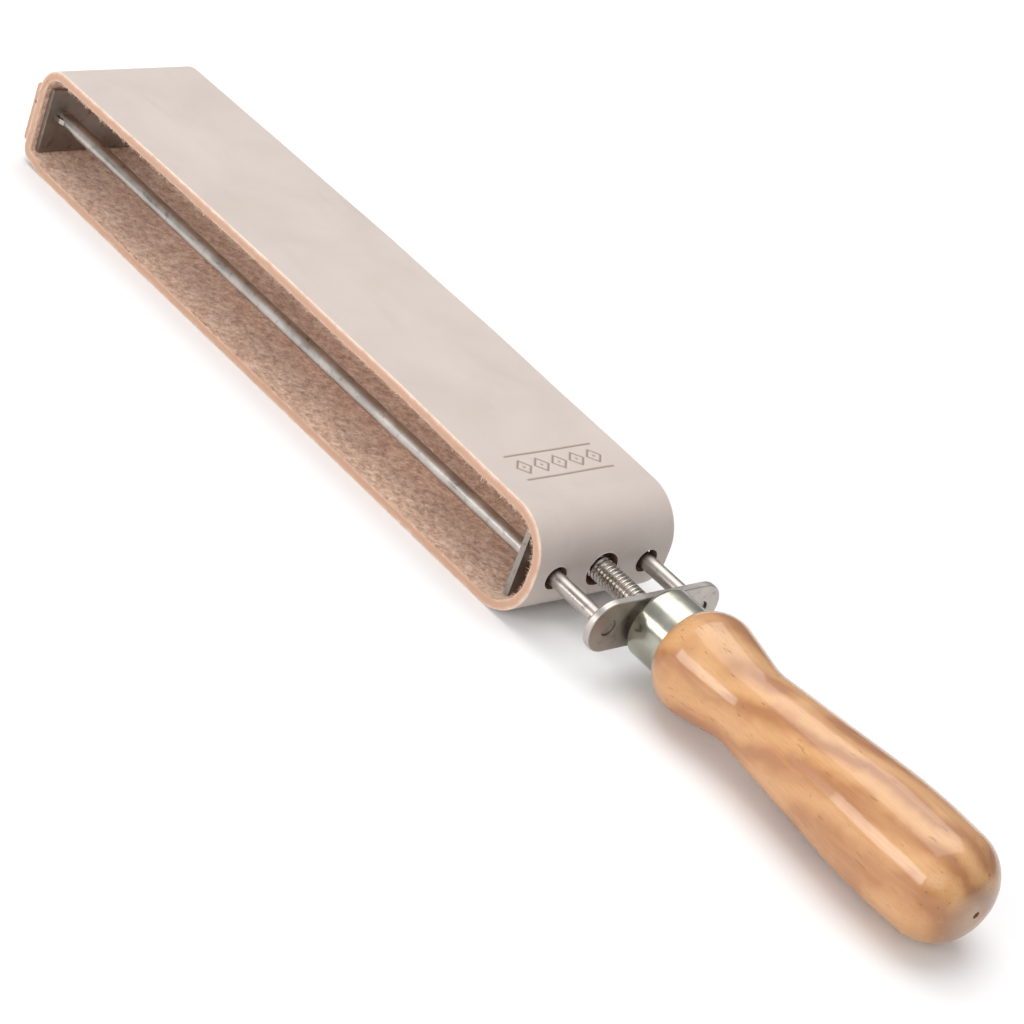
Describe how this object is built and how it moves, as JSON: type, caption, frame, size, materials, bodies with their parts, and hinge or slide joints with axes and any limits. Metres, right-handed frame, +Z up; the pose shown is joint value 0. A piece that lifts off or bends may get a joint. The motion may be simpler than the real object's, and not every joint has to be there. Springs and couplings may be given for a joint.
{
  "type": "adjustable loop strop",
  "caption": "Hand strop for honing blades: leather band stretched over a steel frame, tightened by turning the wooden handle on its screw spindle.",
  "frame": {"origin": "under the middle of the object's bounding box, on the surface the lower strap rests on", "axes": "+X along the frame from the far plate to the butt of the handle, +Z up, +Y across the strap to the left seen from the handle's front"},
  "size_m": [0.3904, 0.05, 0.0346],
  "materials": {
    "band_leather": "undyed vegetable-tanned leather, smooth grain side out, suede flesh side in",
    "patch_leather": "thin undyed leather, glued",
    "plate_steel": "bare rolled steel, slightly dulled",
    "rod_steel": "plain drawn rod, satin",
    "crossbar_steel": "pressed steel, tumbled, satin",
    "spindle_steel": "cut thread, oiled",
    "nut_steel": "turned steel",
    "washer_steel": "plain steel washer",
    "ferrule_steel": "plated drawn steel with small handling dents",
    "handle_wood": "turned beech, clear lacquer"
  },
  "bodies": {
    "frame": {"leather_band": "band_leather", "splice_patch": "patch_leather", "far_plate": "plate_steel", "rod_left": "rod_steel", "rod_right": "rod_steel", "crossbar": "crossbar_steel"},
    "handle_spindle": {"handle": "handle_wood", "ferrule": "ferrule_steel", "spindle": "spindle_steel", "thrust_washer": "washer_steel"},
    "tension_plate": {"near_plate": "plate_steel", "spindle_nut": "nut_steel"}
  },
  "joints": [
    {"name": "handle_turn", "type": "hinge", "parent": "frame", "child": "handle_spindle", "pos_m": [0.0752, 0, 0.0165], "axis": [1, 0, 0], "range_deg": [0, 1800]},
    {"name": "plate_slide", "type": "slide", "parent": "frame", "child": "tension_plate", "axis": [1, 0, 0], "range_m": [-0.00626, 0]}
  ],
  "couplings": [
    {"joint": "plate_slide", "follows": "handle_turn", "m_per_rad": -0.00019894}
  ]
}
